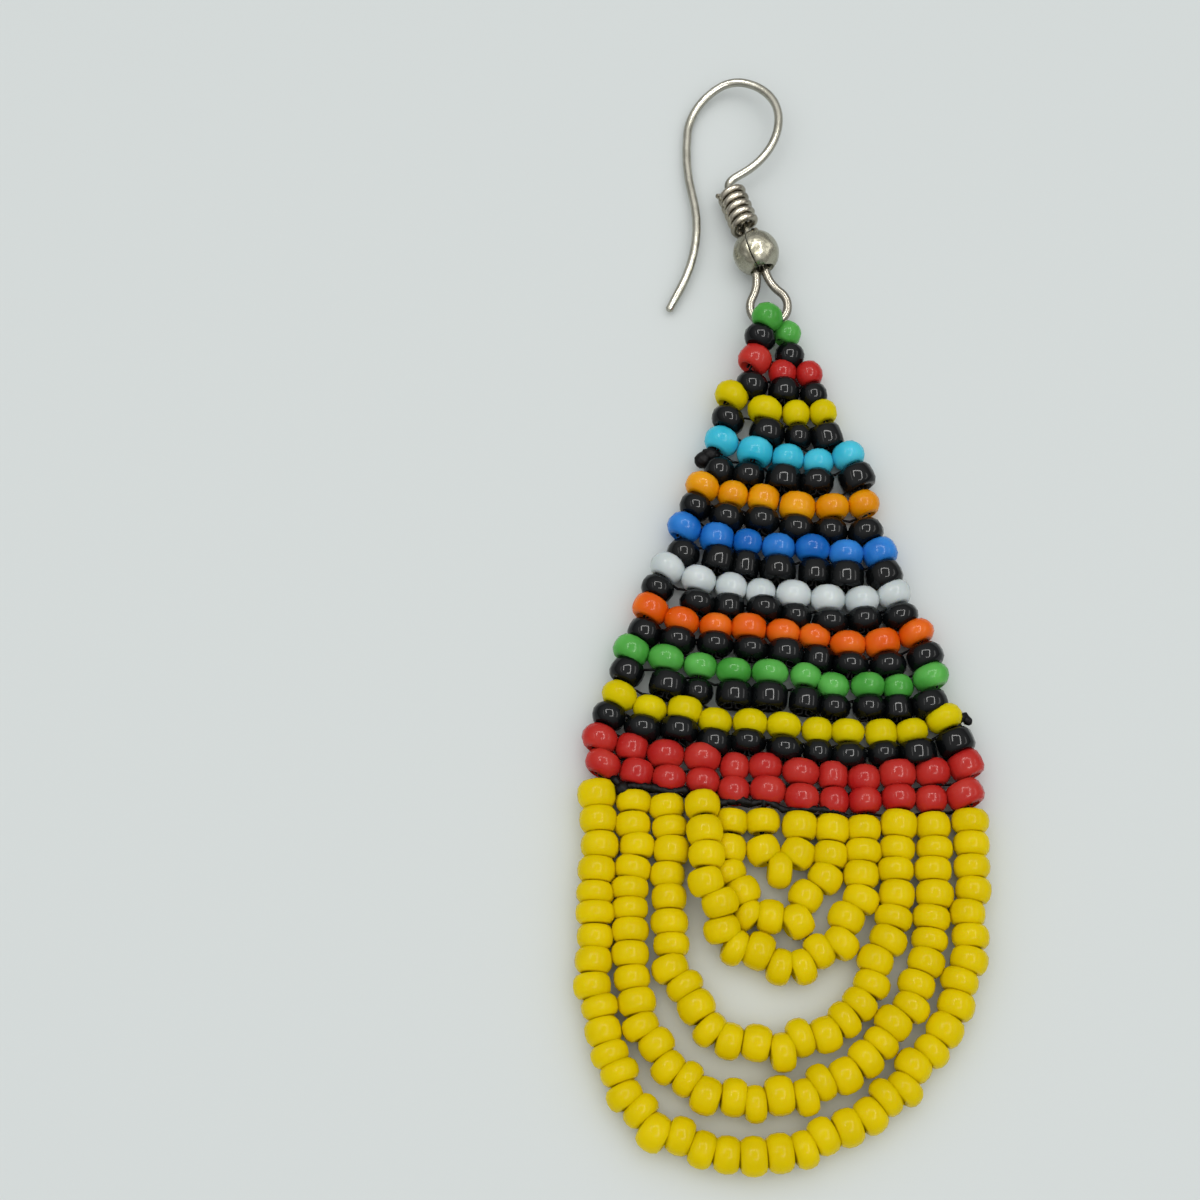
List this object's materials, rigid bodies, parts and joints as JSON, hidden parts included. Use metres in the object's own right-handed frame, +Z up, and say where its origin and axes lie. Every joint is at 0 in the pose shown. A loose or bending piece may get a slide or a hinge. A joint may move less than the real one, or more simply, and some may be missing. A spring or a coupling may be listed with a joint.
{
  "type": "beaded drop earring",
  "caption": "Drop earring lying flat: ear hook with coil and ball, a triangular panel of striped seed beads, and nested yellow bead loops below it.",
  "frame": {"origin": "centre of the earring's outline, on the surface it lies on", "axes": "+X across the earring to the right, +Y from the fringe towards the hook, +Z up from the surface"},
  "size_m": [0.0266, 0.08, 0.0035],
  "materials": {
    "plated_wire": "nickel-plated wire, bright and slightly warm",
    "plated_ball": "nickel-plated hollow ball, bright with fine rubbing marks",
    "black_thread": "waxed polyester beading thread",
    "panel_beads": "opaque glossy glass seed beads in red, black, green, yellow, turquoise, amber, blue, white and orange rows",
    "yellow_beads": "opaque glossy yellow glass seed beads"
  },
  "bodies": {
    "root": {"ear_hook": "plated_wire", "hook_coil": "plated_wire", "hook_ball": "plated_ball", "hanging_thread": "black_thread", "beaded_panel": "panel_beads", "fringe_loop_1": "yellow_beads", "fringe_loop_2": "yellow_beads", "fringe_loop_3": "yellow_beads", "fringe_loop_4": "yellow_beads", "fringe_loop_5": "yellow_beads", "fringe_loop_6": "yellow_beads"}
  },
  "joints": []
}
